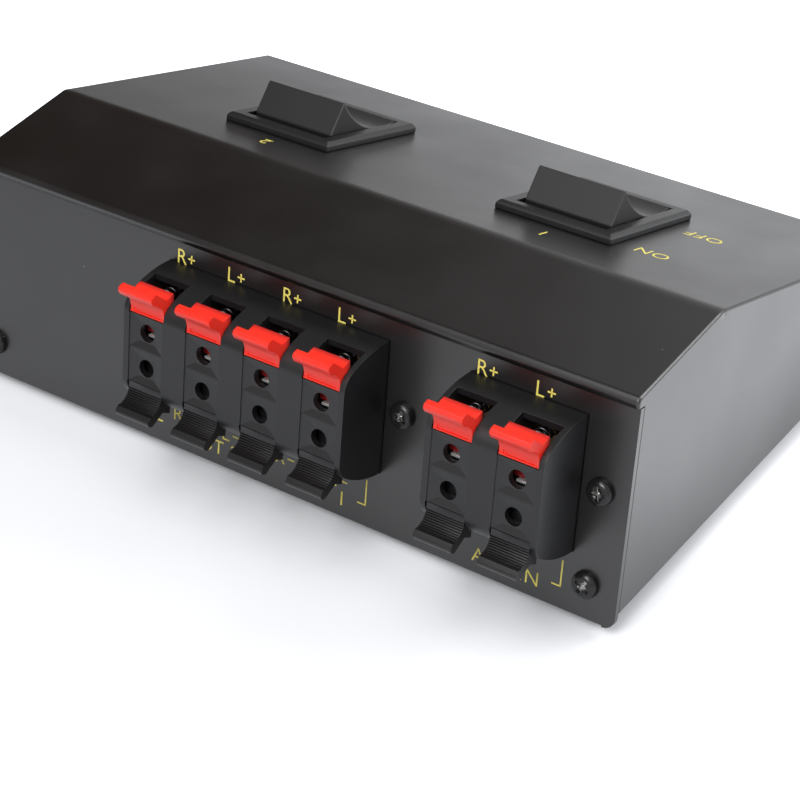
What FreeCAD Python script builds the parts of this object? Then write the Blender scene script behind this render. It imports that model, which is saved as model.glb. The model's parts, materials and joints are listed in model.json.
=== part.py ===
import FreeCAD, Part
import math
import os

# Two-way speaker selector switch: a sloped sheet-steel case with push-lever terminal
# blocks on its leaning rear panel and two rocker switches on its control surface.
# Row frame, in mm: X along the case, +Y towards the terminals, +Z up. The origin is
# under the middle of the whole part, on the surface that the feet rest on.
# Two local frames are used: on the panel (X, out from the panel, up the panel) and on
# the control surface (X, up the slope, out of the surface).

V = FreeCAD.Vector

# Case
SHEET = 1.0                # steel sheet
BEND = 1.4                 # outside radius of a bend
PANEL_BEND = 0.4           # tighter bend between the bottom and the panel
END_FOLD = 0.4             # tight fold between the cover's top and its end walls
SEAM = 0.15                # gap between the tray and the cover over it
CASE_LENGTH = 155.0
PANEL_LEAN = 13.5          # degrees that the terminal panel leans inwards
PANEL_HEIGHT = 43.5        # along the panel, up to the cover's lip
PANEL_CORNER = 2.5         # rounded lower corners of the panel
LIP_HEIGHT = 1.9           # the cover's lip over the panel's top edge
LIP_LAP = 0.6              # how far the panel runs up behind the lip
STRIP_LENGTH = 27.7        # nearly level strip from the lip to the crest
STRIP_ANGLE = 3.1
SLOPE_LENGTH = 67.7        # control surface from the crest to the front edge
SLOPE_ANGLE = 19.85
COVER_LIFT = 2.8           # the cover's lower edge above the tray's underside
TRAY_FLANGE = 8.0          # height of the tray's front and end flanges
CORNER_RELIEF = 4.5        # between the tray's end flanges and its corners
TAB_WIDTH = 11.0           # screw tabs inside the cover, bent in from its front wall
TAB_REACH = 11.0
REAR_TAB_HALF = 3.0        # half height of the screw tabs behind the panel

# Feet
FOOT_HEIGHT = 2.0
FOOT_RADIUS = 5.0
FOOT_CHAMFER = 0.5
FOOT_INSET_X = 13.0
FOOT_INSET_Y = 13.0

# Push-lever terminal blocks
COLUMN_PITCH = 13.6
SPEAKER_COLUMNS = 4
AMPLIFIER_COLUMNS = 2
BLOCK_HEIGHT = 25.65       # centre line of the blocks above the panel's lower edge
BLOCK_OUT = 12.85          # how far a block stands out of the panel
BLOCK_FLAT = 7.0           # half height of the flat front
BLOCK_HALF = 13.3          # half height of the block at the panel
BLOCK_END = 5.35           # beyond the outer columns' centres
SHOULDER = 3.8             # radius where the flat front turns into the shoulder
CUTOUT_GAP = 0.15
FLANGE_THICK = 2.5         # flange behind the panel
FLANGE_LAP = 1.2           # flange beyond the cut-out, above and below
EAR_OFFSET = 4.15          # ear screw beyond the block's end
EAR_REACH = 4.0            # ear beyond its screw
EAR_TO_END = 1.7           # from the amplifier block's outer ear to the case's end
EARS_APART = 1.3           # between the two blocks' ears
FRONT_WALL = 1.9
DOME_WALL = 1.1
WEB = 1.8                  # between the upper and the lower chambers
WINDOW_BACK = 5.6          # rear edge of a window, out from the panel
POCKET = 0.2               # shallow pocket in the flat front, as wide as a lever
WIRE_HOLE = 1.75           # radius
WIRE_RISE = 3.6            # wire holes above and below the centre line
FUNNEL_DEPTH = 0.55        # from the flat front to the wire hole
FUNNEL_HEIGHT = 6.8
FUNNEL_MOUTH = 3.9
BASE_PLATE = 1.6           # fibre plate that closes a block's rear
STAKE = 1.0                # radius of the stakes that hold the fibre plate
STAKE_HEAD = 0.8

# Levers
LEVER_WIDTH = 8.1
LEVER_SIDE_GAP = 0.15
LEVER_TRAVEL = 15.0        # degrees
PIVOT_IN = 3.2             # behind the flat front
PIVOT_DOWN = 0.45          # below the flat's edge
TRUNNION = 1.1             # radius
TRUNNION_REACH = 0.55      # beyond the lever's side
RUNNING_GAP = 0.05
NOSE_ROUND = 0.8
FOOT_GAP = 0.35            # under the lever's foot, above the contact blade
# Points of the lever's side outline, (out, up) from the upper edge of the block's flat front
FACE_LOW = (-0.25, 0.15)
FACE_HOLLOW = (0.22, 2.9)
FINGER_UNDER = (2.7, 4.4)
FINGER_NOSE = (3.75, 5.85)
FINGER_TOP = (2.0, 6.5)
HEAD_NOTCH = (-0.9, 4.5)
HEAD_SHOULDER = (-2.9, 5.3)
BACK_HIGH = (-3.0, 3.6)
BACK_RISE = 0.8            # of the back's lower end, above the pivot
BACK_IN = 0.3              # of the lever's leg, behind the trunnion
THROAT_IN = 0.2            # where the leg's front turns outwards, in front of the pivot
THROAT_DOWN = 1.2          # and below the flat's edge
NECK_GAP = 0.3             # behind the block's front wall
NECK_UP = 0.1              # above the window's front edge
STEM_WIDTH = 4.6           # of the leg below the pivot
FACE_GROOVE = (0.45, 1.25) # shallow groove across a red lever's face, up from the flat's edge
GROOVE_DEPTH = 0.3
GROOVE_INSET = 0.8
RIB_COUNT = 8
RIB_DEPTH = 0.22
GRIP_START = 0.25          # along the finger face, share of its arc
GRIP_END = 0.86

# Lever springs
SPRING_RISE = 9.75         # spring's axis from the block's centre line
SPRING_RADIUS = 1.4
SPRING_WIRE = 0.4
SPRING_SEAT = 0.1

# Contacts
BLADE_WIDTH = 3.0
BLADE_THICK = 0.5
BLADE_TOP = 2.4            # above the block's centre line
BLADE_END = 10.2           # front end, out from the panel
UPSTAND_OUT = 7.2
UPSTAND_TOP = 5.0
TAG_REACH = 8.0            # behind the fibre plate
TAG_EYE = 0.7              # half width of a tag's eye
SLOT_GAP = 0.05

# Screws
SCREW_HEAD = 2.8           # radius
SCREW_DOME = 1.9           # head height
SCREW_SHANK = 1.45         # radius
SCREW_LENGTH = 7.0
SCREW_ROUND = 1.1          # slope of the head's edge
SCREW_SLOT = 0.75          # width of the cross recess
SCREW_SLOT_LENGTH = 3.1
SCREW_SLOT_DEPTH = 1.1
SCREW_GAP = 0.05
COVER_SCREW_X = 6.5        # from the case's end
COVER_SCREW_UP = 7.1       # above the panel's lower edge
FRONT_SCREW_X = 30.0       # from the middle
FRONT_SCREW_IN = 7.0       # behind the front wall

# Rocker switches
SWITCH_X = 32.9
SWITCH_DOWN = 29.25        # below the crest, along the control surface
BEZEL_WIDTH = 25.8
BEZEL_LENGTH = 30.5
BEZEL_PROUD = 1.9
BEZEL_ROUND = 0.7
BODY_WIDTH = 22.2
BODY_LENGTH = 27.0
BODY_DEPTH = 16.5
BODY_WALL = 1.1
BODY_FLOOR = 1.6
BODY_GAP = 0.2
BARB = 0.7                 # how far the barbs catch under the sheet
BARB_LENGTH = 3.5
BARB_WIDTH = 4.0
ROCKER_SIDE_GAP = 0.3      # between the rocker and the walls beside it
ROCKER_PIVOT = 2.5         # below the control surface
ROCKER_TILT = 18.0         # each way from the middle
RIDGE_HALF = 9.6
RIDGE_UP = 8.1             # above the pivot
RIDGE_SAG = 3.1            # of the concave top
SKIRT_HALF = 10.8
SKIRT_UP = 1.1
ROCKER_BOTTOM = 6.0        # below the pivot
ROCKER_BOTTOM_HALF = 3.4
ROCKER_TRUNNION = 1.5
ROCKER_SIDE = 0.8          # trunnion inside the wall
PLUNGER_RADIUS = 1.1
PLUNGER_GAP = 0.35         # over the seesaws, in the middle of the travel
POLE_X = 5.2
SEESAW_TILT = 7.0
SEESAW_HALF = 7.5
SEESAW_WIDTH = 4.0
SEESAW_THICK = 0.6
SEESAW_UP = 2.2            # its pivot above the switch floor
SEESAW_REST = 0.1          # its pivot above the middle tag
TIP_GAP = 0.25             # its lowered tip above the outer tag
TAG_WIDTH = 4.8
TAG_THICK = 0.8
TAG_PITCH = 8.6
SWITCH_TAG_REACH = 8.0

# Small rounds that repeat many times are drawn with this many sides
ROD_SIDES = 12
HEAD_SIDES = 20            # screw heads and feet


# ---- Small helpers ----

def box(x, y, z):
    """A box from its (low, high) along each axis."""
    return Part.makeBox(x[1] - x[0], y[1] - y[0], z[1] - z[0], V(x[0], y[0], z[0]))


def along_x(outline, x):
    """An outline of (y, z) points, or a wire in the YZ plane, drawn out from x[0] to x[1]."""
    if isinstance(outline, list):
        points = [V(0, y, z) for y, z in outline]
        outline = Part.makePolygon(points + points[:1])
    face = Part.Face(outline)
    face.translate(V(x[0], 0, 0))
    return face.extrude(V(x[1] - x[0], 0, 0))


def cylinder(radius, start, axis, length):
    return Part.makeCylinder(radius, length, start, axis)


def many_sided(sides, radius, start, axis, length):
    """A regular prism with its corners at the given radius."""
    points = []
    for i in range(sides + 1):
        angle = (i + 0.5) * 360.0 / sides
        points.append(V(radius * cosine(angle), radius * sine(angle), 0))
    prism = Part.Face(Part.makePolygon(points)).extrude(V(0, 0, length))
    prism.Placement = FreeCAD.Placement(start, FreeCAD.Rotation(V(0, 0, 1), axis))
    return prism


def rod(radius, start, axis, length):
    """A small repeated round bar, inside its radius."""
    return many_sided(ROD_SIDES, radius, start, axis, length)


def rod_hole(radius, start, axis, length):
    """The hole for a rod, outside its radius."""
    return many_sided(ROD_SIDES, radius / cosine(180.0 / ROD_SIDES), start, axis, length)


def joined(shapes):
    whole = shapes[0]
    if len(shapes) > 1:
        whole = whole.multiFuse(shapes[1:])
    return whole.removeSplitter()


def inset(points, depths):
    """A counter-clockwise outline with each edge, from its point to the next, moved inwards."""
    lines = []
    for i, (start, depth) in enumerate(zip(points, depths)):
        end = points[(i + 1) % len(points)]
        length = math.hypot(end[0] - start[0], end[1] - start[1])
        run = ((end[0] - start[0]) / length, (end[1] - start[1]) / length)
        lines.append(((start[0] - run[1] * depth, start[1] + run[0] * depth), run))
    corners = []
    for i in range(len(lines)):
        (p, u), (q, w) = lines[i - 1], lines[i]
        cross = u[0] * w[1] - u[1] * w[0]
        reach = ((q[0] - p[0]) * w[1] - (q[1] - p[1]) * w[0]) / cross
        corners.append((p[0] + u[0] * reach, p[1] + u[1] * reach))
    return corners


def edges_where(shape, test):
    return [edge for edge in shape.Edges if test(edge)]


def sine(angle):
    return math.sin(math.radians(angle))


def cosine(angle):
    return math.cos(math.radians(angle))


# ---- Places that follow from the sizes ----
HALF = CASE_LENGTH / 2
TRAY_HALF = HALF - SHEET - SEAM


def lever_point(place):
    """A point on a lever, from the upper edge of the block's flat front."""
    return (BLOCK_OUT + place[0], BLOCK_FLAT + place[1])


# The lower levers' finger tips reach furthest beyond the panel's lower edge.
FINGER_TIP = lever_point(FINGER_NOSE)
TIP_BEYOND = FINGER_TIP[0] * cosine(PANEL_LEAN) - (BLOCK_HEIGHT - FINGER_TIP[1]) * sine(PANEL_LEAN)


def panel_yz(out, up):
    """(depth from the panel's lower edge, height above the underside) of a panel point."""
    return (
        up * sine(PANEL_LEAN) - out * cosine(PANEL_LEAN),
        up * cosine(PANEL_LEAN) + out * sine(PANEL_LEAN),
    )


LIP_TOP = panel_yz(SHEET, PANEL_HEIGHT + LIP_HEIGHT)
CREST = (
    LIP_TOP[0] + STRIP_LENGTH * cosine(STRIP_ANGLE),
    LIP_TOP[1] + STRIP_LENGTH * sine(STRIP_ANGLE),
)
FRONT_TOP = (
    CREST[0] + SLOPE_LENGTH * cosine(SLOPE_ANGLE),
    CREST[1] - SLOPE_LENGTH * sine(SLOPE_ANGLE),
)
CASE_DEPTH = FRONT_TOP[0]
Y_REAR = (CASE_DEPTH - TIP_BEYOND) / 2


def row_yz(depth, height):
    """Row (y, z) of a point given by depth from the panel's lower edge and height."""
    return (Y_REAR - depth, FOOT_HEIGHT + height)


def on_panel(shape, x, up):
    """A shape made in the panel's local frame, put at its place on the panel."""
    placed = shape.copy()
    place = FreeCAD.Placement(V(0, *row_yz(0, 0)), FreeCAD.Rotation(V(1, 0, 0), PANEL_LEAN))
    placed.translate(V(x, 0, up))
    placed.transformShape(place.toMatrix())
    return placed


def on_slope(shape, x, down):
    """A shape made in the control surface's local frame, put at its place on the surface."""
    placed = shape.copy()
    place = FreeCAD.Placement(V(x, *row_yz(*CREST)), FreeCAD.Rotation(V(1, 0, 0), SLOPE_ANGLE))
    placed.translate(V(0, -down, 0))
    placed.transformShape(place.toMatrix())
    return placed


def write(name, shape):
    """One node's STEP file."""
    shape.exportStep("parts/" + name + ".step")
    print(name, len(shape.Solids), "solids", round(shape.Volume, 2), "mm3", shape.isValid())


# ---- Terminal blocks: where their columns and screws are ----
def column_places(count):
    return [(i - (count - 1) / 2) * COLUMN_PITCH for i in range(count)]


def block_half_length(count):
    return (count - 1) / 2 * COLUMN_PITCH + BLOCK_END


EAR_LENGTH = EAR_OFFSET + EAR_REACH
AMPLIFIER_X = -HALF + EAR_TO_END + EAR_LENGTH + block_half_length(AMPLIFIER_COLUMNS)
BLOCKS_APART = 2 * EAR_LENGTH + EARS_APART
SPEAKER_X = (
    AMPLIFIER_X + block_half_length(AMPLIFIER_COLUMNS) + BLOCKS_APART
    + block_half_length(SPEAKER_COLUMNS)
)
BLOCKS = {
    "speaker": (SPEAKER_X, SPEAKER_COLUMNS),
    "amplifier": (AMPLIFIER_X, AMPLIFIER_COLUMNS),
}


def block_screws(centre, count):
    reach = block_half_length(count) + EAR_OFFSET
    return [centre - reach, centre + reach]


# ---- Case ----
def tray():
    """Bottom, leaning rear panel and low flanges, bent from one sheet."""
    front = CASE_DEPTH - SHEET - SEAM
    panel_top = panel_yz(0, PANEL_HEIGHT + LIP_LAP)
    outer = [row_yz(*p) for p in ((front, TRAY_FLANGE), (front, 0), (0, 0), panel_top)]
    corners = inset(outer, [SHEET, SHEET, SHEET, 0])
    inner = [
        row_yz(*panel_yz(-SHEET, PANEL_HEIGHT + LIP_LAP)), corners[2], corners[1],
        row_yz(front - SHEET, TRAY_FLANGE),
    ]
    plate = along_x(outer + inner, (-TRAY_HALF + BEND, TRAY_HALF - BEND))
    low = FOOT_HEIGHT + 0.01
    for radius, side in ((BEND, -1), (PANEL_BEND, 1)):
        plate = plate.makeFillet(
            radius,
            edges_where(
                plate,
                lambda e: e.BoundBox.XLength > CASE_LENGTH / 2 and e.BoundBox.ZMax < low
                and side * e.BoundBox.Center.y > CASE_DEPTH / 4,
            ),
        )
    # The panel is as wide as the cover over its end walls, and narrower behind the lip.
    panel = box((-HALF, HALF), (-SHEET, 0), (0, PANEL_HEIGHT - SEAM))
    panel = panel.makeFillet(
        PANEL_CORNER,
        edges_where(panel, lambda e: e.BoundBox.ZMax < 0.01 and e.BoundBox.XLength < 0.01),
    )
    middle = (-TRAY_HALF + BEND, TRAY_HALF - BEND)
    wings = panel.cut(box(middle, (-2 * SHEET, SHEET), (-1, PANEL_HEIGHT)))
    tongue = box(middle, (-SHEET, 0), (PANEL_HEIGHT / 2, PANEL_HEIGHT + LIP_LAP))
    shapes = [plate, on_panel(wings, 0, 0), on_panel(tongue, 0, 0)]
    # End flanges, with relief at the corners
    for side in (-1, 1):
        outer_x, inner_x = side * TRAY_HALF, side * (TRAY_HALF - 2 * BEND)
        y_low, y_high = row_yz(front - CORNER_RELIEF, 0)[0], row_yz(CORNER_RELIEF + SHEET, 0)[0]
        flange = box(
            sorted((outer_x, inner_x)), (y_low, y_high), (FOOT_HEIGHT, FOOT_HEIGHT + TRAY_FLANGE)
        )
        flange = flange.makeFillet(
            BEND,
            edges_where(
                flange,
                lambda e: e.BoundBox.ZMax < low and abs(e.BoundBox.XMin - outer_x) < 0.01
                and abs(e.BoundBox.XMax - outer_x) < 0.01,
            ),
        )
        hollow_x = sorted((outer_x - side * SHEET, inner_x - side))
        hollow = box(
            hollow_x, (y_low - 1, y_high + 1),
            (FOOT_HEIGHT + SHEET, FOOT_HEIGHT + TRAY_FLANGE + 1),
        )
        shapes.append(flange.cut(hollow))
    whole = joined(shapes)
    # Cut-outs for the blocks, and screw holes
    hole = SCREW_SHANK + SCREW_GAP
    for centre, count in BLOCKS.values():
        half = block_half_length(count) + CUTOUT_GAP
        reach = BLOCK_HALF + CUTOUT_GAP
        whole = whole.cut(
            on_panel(box((-half, half), (-3 * SHEET, SHEET), (-reach, reach)), centre, BLOCK_HEIGHT)
        )
        for x in block_screws(centre, count):
            whole = whole.cut(
                on_panel(rod_hole(hole, V(0, -3 * SHEET, 0), V(0, 1, 0), 4 * SHEET), x, BLOCK_HEIGHT)
            )
    for side in (-1, 1):
        drill = rod_hole(hole, V(0, -3 * SHEET, 0), V(0, 1, 0), 4 * SHEET)
        whole = whole.cut(on_panel(drill, side * (HALF - COVER_SCREW_X), COVER_SCREW_UP))
        y, z = row_yz(CASE_DEPTH - FRONT_SCREW_IN, -SHEET)
        whole = whole.cut(rod_hole(hole, V(side * FRONT_SCREW_X, y, z), V(0, 0, 1), 3 * SHEET))
        # notch in the front flange for the cover's tab
        y, z = row_yz(front, SHEET)
        notch = TAB_WIDTH / 2 + 2 * SEAM
        whole = whole.cut(
            box(
                (side * FRONT_SCREW_X - notch, side * FRONT_SCREW_X + notch),
                (y - SHEET, y + 1.5 * SHEET), (z, z + TRAY_FLANGE),
            )
        )
    return whole


def cover():
    """Front wall, control surface, strip with its lip, and both end walls."""
    drop = SHEET * math.tan(math.radians(PANEL_LEAN))
    foot_rear = panel_yz(SHEET, COVER_LIFT / cosine(PANEL_LEAN) - drop)
    outline = [
        row_yz(*p)
        for p in ((CASE_DEPTH, COVER_LIFT), foot_rear, LIP_TOP, CREST, FRONT_TOP)
    ]
    outer = along_x(outline, (-HALF, HALF))
    low = FOOT_HEIGHT + COVER_LIFT + 0.01
    outer = outer.makeFillet(
        BEND, edges_where(outer, lambda e: e.BoundBox.XLength > HALF and e.BoundBox.ZMax > low)
    )
    outer = outer.makeChamfer(
        END_FOLD, edges_where(outer, lambda e: e.BoundBox.XLength < HALF and e.BoundBox.ZMax > low)
    )
    hollow = along_x(inset(outline, [-3 * SHEET] + 4 * [SHEET]), (-HALF + SHEET, HALF - SHEET))
    shell = outer.cut(hollow)
    # The rear is open below the lip, and the end walls stop behind the panel.
    opening = box(
        (-CASE_LENGTH, CASE_LENGTH), (-SHEET - SEAM, 3 * SHEET), (-PANEL_HEIGHT, PANEL_HEIGHT)
    )
    shell = shell.cut(on_panel(opening, 0, 0))
    slot = box(
        (-TRAY_HALF, TRAY_HALF), (-SHEET - SEAM, 0.0), (PANEL_HEIGHT - 1, PANEL_HEIGHT + LIP_LAP + SEAM)
    )
    shell = shell.cut(on_panel(slot, 0, 0))
    # Screw tabs: bent in from the end walls behind the panel, and from the front wall
    shapes = [shell]
    hole = SCREW_SHANK + SCREW_GAP
    for side in (-1, 1):
        x = sorted((side * (HALF - SHEET / 2), side * (HALF - SHEET - TAB_REACH)))
        tab = box(
            x, (-2 * SHEET - SEAM, -SHEET - SEAM),
            (COVER_SCREW_UP - REAR_TAB_HALF, COVER_SCREW_UP + REAR_TAB_HALF),
        )
        shapes.append(on_panel(tab, 0, 0))
        y, z = row_yz(CASE_DEPTH - SHEET / 2, SHEET + SEAM)
        middle = side * FRONT_SCREW_X
        width = (middle - TAB_WIDTH / 2, middle + TAB_WIDTH / 2)
        shapes.append(box(width, (y, y + TAB_REACH), (z, z + SHEET)))
        shapes.append(box(width, (y - SHEET / 2, y + SHEET / 2), (z, z + 2 * COVER_LIFT)))
    whole = joined(shapes)
    for side in (-1, 1):
        drill = rod_hole(hole, V(0, -4 * SHEET, 0), V(0, 1, 0), 5 * SHEET)
        whole = whole.cut(on_panel(drill, side * (HALF - COVER_SCREW_X), COVER_SCREW_UP))
        y, z = row_yz(CASE_DEPTH - FRONT_SCREW_IN, 0)
        whole = whole.cut(rod_hole(hole, V(side * FRONT_SCREW_X, y, z), V(0, 0, 1), 4 * SHEET))
    # Cut-outs for the two switches
    half_x, half_y = BODY_WIDTH / 2 + BODY_GAP, BODY_LENGTH / 2 + BODY_GAP
    for side in (-1, 1):
        cutout = box((-half_x, half_x), (-half_y, half_y), (-3 * SHEET, 2 * SHEET))
        whole = whole.cut(on_slope(cutout, side * SWITCH_X, SWITCH_DOWN))
    return whole


def feet():
    """Four round rubber pads with a chamfered edge, stuck under the tray."""
    pads = []
    front = CASE_DEPTH - SHEET - SEAM
    for x in (-TRAY_HALF + FOOT_INSET_X, TRAY_HALF - FOOT_INSET_X):
        for depth in (FOOT_INSET_Y, front - FOOT_INSET_Y):
            y = row_yz(depth, 0)[0]
            pad = many_sided(HEAD_SIDES, FOOT_RADIUS, V(x, y, 0), V(0, 0, 1), FOOT_HEIGHT)
            pad = pad.makeChamfer(FOOT_CHAMFER, edges_where(pad, lambda e: e.BoundBox.ZMax < 0.01))
            pads.append(pad)
    return Part.makeCompound(pads)


# ---- Screws ----
def screw():
    """Pan head with a cross recess, head under +Z, shank down."""
    dome = many_sided(HEAD_SIDES, SCREW_HEAD, V(0, 0, 0), V(0, 0, 1), SCREW_DOME)
    dome = dome.makeChamfer(
        SCREW_ROUND, edges_where(dome, lambda e: e.BoundBox.ZMin > SCREW_DOME - 0.01)
    )
    half, width = SCREW_SLOT_LENGTH / 2, SCREW_SLOT / 2
    depth = (SCREW_DOME - SCREW_SLOT_DEPTH, SCREW_DOME + 1)
    cross = box((-half, half), (-width, width), depth)
    cross = cross.fuse(box((-width, width), (-half, half), depth))
    shank = rod(SCREW_SHANK, V(0, 0, SHEET / 2), V(0, 0, -1), SCREW_LENGTH + SHEET / 2)
    shank = shank.makeChamfer(
        SCREW_SHANK / 2, edges_where(shank, lambda e: e.BoundBox.ZMax < -SCREW_LENGTH + 0.01)
    )
    return joined([dome.cut(cross), shank])


def screws_on_panel(places):
    """Screws through the panel at (x, up) places."""
    pieces = []
    for x, up in places:
        piece = screw()
        piece.rotate(V(0, 0, 0), V(1, 0, 0), -90)
        pieces.append(on_panel(piece, x, up))
    return pieces


def cover_screws():
    """Two screws through the panel's lower corners and two through the tray's front."""
    places = [(side * (HALF - COVER_SCREW_X), COVER_SCREW_UP) for side in (-1, 1)]
    pieces = screws_on_panel(places)
    for side in (-1, 1):
        piece = screw()
        piece.rotate(V(0, 0, 0), V(1, 0, 0), 180)
        y, z = row_yz(CASE_DEPTH - FRONT_SCREW_IN, 0)
        piece.translate(V(side * FRONT_SCREW_X, y, z))
        pieces.append(piece)
    return Part.makeCompound(pieces)


# ---- Terminal blocks ----
FLANGE_BACK = -SHEET - FLANGE_THICK
CHAMBER_FRONT = BLOCK_OUT - FRONT_WALL
CHAMBER_HALF = LEVER_WIDTH / 2 + LEVER_SIDE_GAP
PIVOT = (BLOCK_OUT - PIVOT_IN, BLOCK_FLAT - PIVOT_DOWN)
BACK_LOW = (PIVOT[0] - TRUNNION - BACK_IN, PIVOT[1] + BACK_RISE)


def dome_outline(out, flat, half, back, nose):
    """Side outline of a block: flat front, shoulders of two arcs each, sides behind the panel.

    The shoulder leaves the flat with radius nose, and a larger arc takes it to the panel.
    """
    edges = []
    rise = half - flat
    wide = ((out - nose) ** 2 + rise ** 2 - nose ** 2) / (2 * (rise - nose))
    nose_centre, wide_centre = V(0, out - nose, 0), V(0, 0, rise - wide)
    turn = math.atan2(nose_centre.z - wide_centre.z, nose_centre.y - wide_centre.y)
    for centre, radius, start, end in (
        (nose_centre, nose, 0, turn), (wide_centre, wide, turn, math.pi / 2)
    ):
        points = []
        for angle in (start, (start + end) / 2, end):
            points.append(centre + V(0, radius * math.cos(angle), radius * math.sin(angle) + flat))
        edges.append(Part.Arc(*points).toShape())
        edges.append(Part.Arc(*[V(0, p.y, -p.z) for p in points]).toShape())
    straights = [
        ((out, flat), (out, -flat)), ((0, half), (back, half)),
        ((back, half), (back, -half)), ((back, -half), (0, -half)),
    ]
    for start, end in straights:
        edges.append(Part.LineSegment(V(0, *start), V(0, *end)).toShape())
    return Part.Wire(Part.__sortEdges__(edges))


def chamber_outline():
    """Straight-sided inside of a block, at least the wall's thickness within the dome."""
    shoulder_out = CHAMBER_FRONT - SHOULDER
    upper = [
        (CHAMBER_FRONT, BLOCK_FLAT), (shoulder_out, BLOCK_HALF - 2 * DOME_WALL),
        (0, BLOCK_HALF - DOME_WALL), (FLANGE_BACK - 1, BLOCK_HALF - DOME_WALL),
    ]
    return upper + [(out, -up) for out, up in reversed(upper)]


def funnel(x, z):
    """Four sloping facets that lead a wire to its hole."""
    throat, height, width = FUNNEL_MOUTH / 2, FUNNEL_HEIGHT / 2, LEVER_WIDTH / 2
    low, high = BLOCK_OUT - FUNNEL_DEPTH, BLOCK_OUT - POCKET
    return Part.makeWedge(
        x - throat, low, z - throat, z - height, x - width,
        x + throat, high, z + throat, z + height, x + width,
    )


def housing(count):
    """Moulded block: domed front, a chamber and window for each lever, and the rear flange."""
    half = block_half_length(count)
    outline = dome_outline(BLOCK_OUT, BLOCK_FLAT, BLOCK_HALF, FLANGE_BACK, SHOULDER)
    body = along_x(outline, (-half, half))
    ear = half + EAR_OFFSET + EAR_REACH
    reach = BLOCK_HALF + CUTOUT_GAP + FLANGE_LAP
    flange = box((-ear, ear), (FLANGE_BACK, -SHEET), (-reach, reach))
    flange = flange.makeFillet(
        EAR_REACH / 2,
        edges_where(flange, lambda e: max(e.BoundBox.XLength, e.BoundBox.ZLength) < 0.01),
    )
    whole = joined([body, flange])
    room = along_x(chamber_outline(), (-CHAMBER_HALF, CHAMBER_HALF))
    for x in column_places(count):
        pocket = box(
            (x - LEVER_WIDTH / 2, x + LEVER_WIDTH / 2),
            (BLOCK_OUT - POCKET, BLOCK_OUT + 1), (-BLOCK_FLAT, BLOCK_FLAT),
        )
        whole = whole.cut(pocket)
        for side in (-1, 1):
            span = sorted((side * WEB / 2, side * BLOCK_HALF * 2))
            chamber = room.common(box((-HALF, HALF), (-BLOCK_OUT, BLOCK_OUT), span))
            chamber.translate(V(x, 0, 0))
            rise = sorted((side * BLOCK_FLAT, side * BLOCK_HALF * 2))
            window = box((x - CHAMBER_HALF, x + CHAMBER_HALF), (WINDOW_BACK, BLOCK_OUT + 1), rise)
            bearing = rod_hole(
                TRUNNION + RUNNING_GAP,
                V(x - LEVER_WIDTH / 2 - TRUNNION_REACH - RUNNING_GAP, PIVOT[0], side * PIVOT[1]),
                V(1, 0, 0),
                LEVER_WIDTH + 2 * (TRUNNION_REACH + RUNNING_GAP),
            )
            hole = cylinder(WIRE_HOLE, V(x, 0, side * WIRE_RISE), V(0, 1, 0), BLOCK_OUT)
            for tool in (chamber, window, bearing, hole, funnel(x, side * WIRE_RISE)):
                whole = whole.cut(tool)
    for x in (-half - EAR_OFFSET, half + EAR_OFFSET):
        whole = whole.cut(
            rod_hole(SCREW_SHANK + SCREW_GAP, V(x, FLANGE_BACK - 1, 0), V(0, 1, 0), FLANGE_THICK + 2)
        )
    stakes = [
        rod(STAKE, V(x, FLANGE_BACK + 0.5, 0), V(0, -1, 0), BASE_PLATE + STAKE_HEAD + 0.5)
        for x in stake_places(count)
    ]
    return joined([whole] + stakes)


def stake_places(count):
    columns = column_places(count)
    return [(a + b) / 2 for a, b in zip(columns, columns[1:])]


def base_plate(count):
    """Fibre plate that closes the chambers, seats the springs and holds the contacts."""
    half = block_half_length(count)
    back = FLANGE_BACK - BASE_PLATE
    plate = box((-half, half), (back, FLANGE_BACK), (-BLOCK_HALF, BLOCK_HALF))
    for x in stake_places(count):
        plate = plate.cut(
            rod_hole(STAKE + RUNNING_GAP, V(x, back - 1, 0), V(0, 1, 0), BASE_PLATE + 2)
        )
    for x in column_places(count):
        for side in (-1, 1):
            rise = sorted((side * (BLADE_TOP + SLOT_GAP), side * (BLADE_TOP - BLADE_THICK - SLOT_GAP)))
            wide = BLADE_WIDTH / 2 + SLOT_GAP
            plate = plate.cut(box((x - wide, x + wide), (back - 1, FLANGE_BACK + 1), rise))
    return plate


def contacts(count):
    """Brass strips: a blade behind each wire hole, an upstand, and a solder tag at the rear."""
    back = FLANGE_BACK - BASE_PLATE - TAG_REACH
    strips = []
    for x in column_places(count):
        for side in (-1, 1):
            low, high = side * (BLADE_TOP - BLADE_THICK), side * BLADE_TOP
            wide = (x - BLADE_WIDTH / 2, x + BLADE_WIDTH / 2)
            strip = box(wide, (back, BLADE_END), sorted((low, high)))
            upstand = box(
                wide, (UPSTAND_OUT, UPSTAND_OUT + BLADE_THICK), sorted((low, side * UPSTAND_TOP))
            )
            eye = box(
                (x - TAG_EYE, x + TAG_EYE), (back + TAG_EYE, back + 3 * TAG_EYE),
                sorted((low - side, high + side)),
            )
            strips.append(joined([strip, upstand]).cut(eye))
    return Part.makeCompound(strips)


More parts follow.
